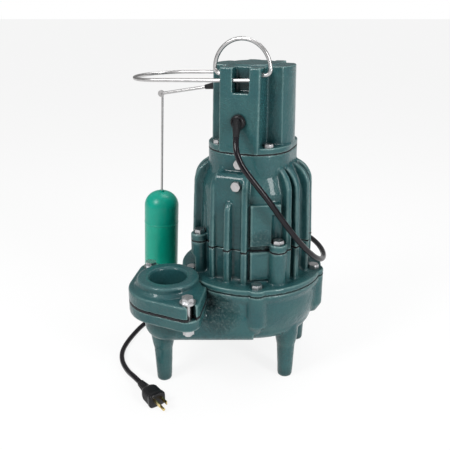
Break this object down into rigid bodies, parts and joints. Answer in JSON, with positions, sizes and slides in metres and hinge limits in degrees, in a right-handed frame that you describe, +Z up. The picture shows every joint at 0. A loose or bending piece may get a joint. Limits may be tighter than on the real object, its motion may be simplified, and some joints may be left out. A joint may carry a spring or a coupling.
{
  "type": "submersible sump pump",
  "caption": "Cast submersible sump pump on legs, with a side discharge flange, ribbed motor housing, lifting bail, hanging float on an arm inside a wire guard, and a mains cord.",
  "frame": {"origin": "on the shaft's axis, level with the bottoms of the feet", "axes": "+Z up along the shaft, -Y towards the side with the cord gland, -X towards the float"},
  "size_m": [0.3609, 0.4722, 0.562],
  "materials": {
    "green_enamel": "gloss enamel over cast iron",
    "gasket_black": "matt",
    "bright_steel": "bright",
    "float_green": "satin",
    "rubber_black": "satin",
    "cord_black": "satin",
    "blade_brass": "bright",
    "iron_inside": "plain",
    "copper_wire": "varnished",
    "aluminium_ring": "cast",
    "switch_plastic": "matt",
    "impeller_iron": "as cast"
  },
  "bodies": {
    "pump": {"volute_housing": "green_enamel", "volute_legs": "green_enamel", "volute_outlet": "green_enamel", "adapter_housing": "green_enamel", "motor_housing": "green_enamel", "switch_cap": "green_enamel", "discharge_flange": "green_enamel", "volute_gasket": "gasket_black", "motor_gasket": "gasket_black", "cap_gasket": "gasket_black", "discharge_gasket": "gasket_black", "volute_bolts": "bright_steel", "motor_bolts": "bright_steel", "cap_screws": "bright_steel", "oil_plugs": "bright_steel", "discharge_bolts": "bright_steel", "discharge_washers": "bright_steel", "discharge_nuts": "bright_steel", "float_guard": "bright_steel", "arm_pin": "bright_steel", "stator_core": "iron_inside", "stator_windings": "copper_wire", "upper_bearing_outer_race": "bright_steel", "upper_bearing_balls": "bright_steel", "lower_bearing_outer_race": "bright_steel", "lower_bearing_balls": "bright_steel", "seal_seat": "iron_inside", "start_capacitor": "aluminium_ring", "float_switch": "switch_plastic", "power_cord_upper": "cord_black", "power_cord_coil": "cord_black", "power_cord_lower": "cord_black", "cord_gland": "rubber_black", "plug_body": "rubber_black", "plug_blades": "blade_brass"},
    "rotor": {"shaft": "bright_steel", "rotor_core": "iron_inside", "rotor_end_rings": "aluminium_ring", "upper_bearing_inner_race": "bright_steel", "lower_bearing_inner_race": "bright_steel", "seal_head": "rubber_black", "seal_spring": "bright_steel", "seal_collar": "bright_steel", "impeller": "impeller_iron", "impeller_nut": "bright_steel", "impeller_washer": "bright_steel"},
    "bail": {"lifting_bail": "bright_steel"},
    "arm": {"float_arm": "bright_steel", "arm_seal": "rubber_black"},
    "float": {"float_rod": "bright_steel", "float_upper_shell": "float_green", "float_lower_shell": "float_green"},
    "plunger": {"switch_plunger": "switch_plastic"}
  },
  "joints": [
    {"name": "rotor_spin", "type": "hinge", "parent": "pump", "child": "rotor", "pos_m": [0, 0, 0.2], "axis": [0, 0, 1], "continuous": true},
    {"name": "bail_pivot", "type": "hinge", "parent": "pump", "child": "bail", "pos_m": [0, -0.055, 0.508], "axis": [1, 0, 0], "range_deg": [-50, 54]},
    {"name": "arm_pivot", "type": "hinge", "parent": "pump", "child": "arm", "pos_m": [-0.062, 0, 0.483], "axis": [0, 1, 0], "range_deg": [0, 24]},
    {"name": "float_eye", "type": "hinge", "parent": "arm", "child": "float", "pos_m": [-0.165, 0, 0.464], "axis": [0, 1, 0], "range_deg": [-24, 0]},
    {"name": "plunger_slide", "type": "slide", "parent": "pump", "child": "plunger", "axis": [0, 0, -1], "range_m": [0, 0.008]}
  ],
  "couplings": [
    {"joint": "float_eye", "follows": "arm_pivot", "ratio": -1},
    {"joint": "plunger_slide", "follows": "arm_pivot", "m_per_rad": 0.019}
  ]
}
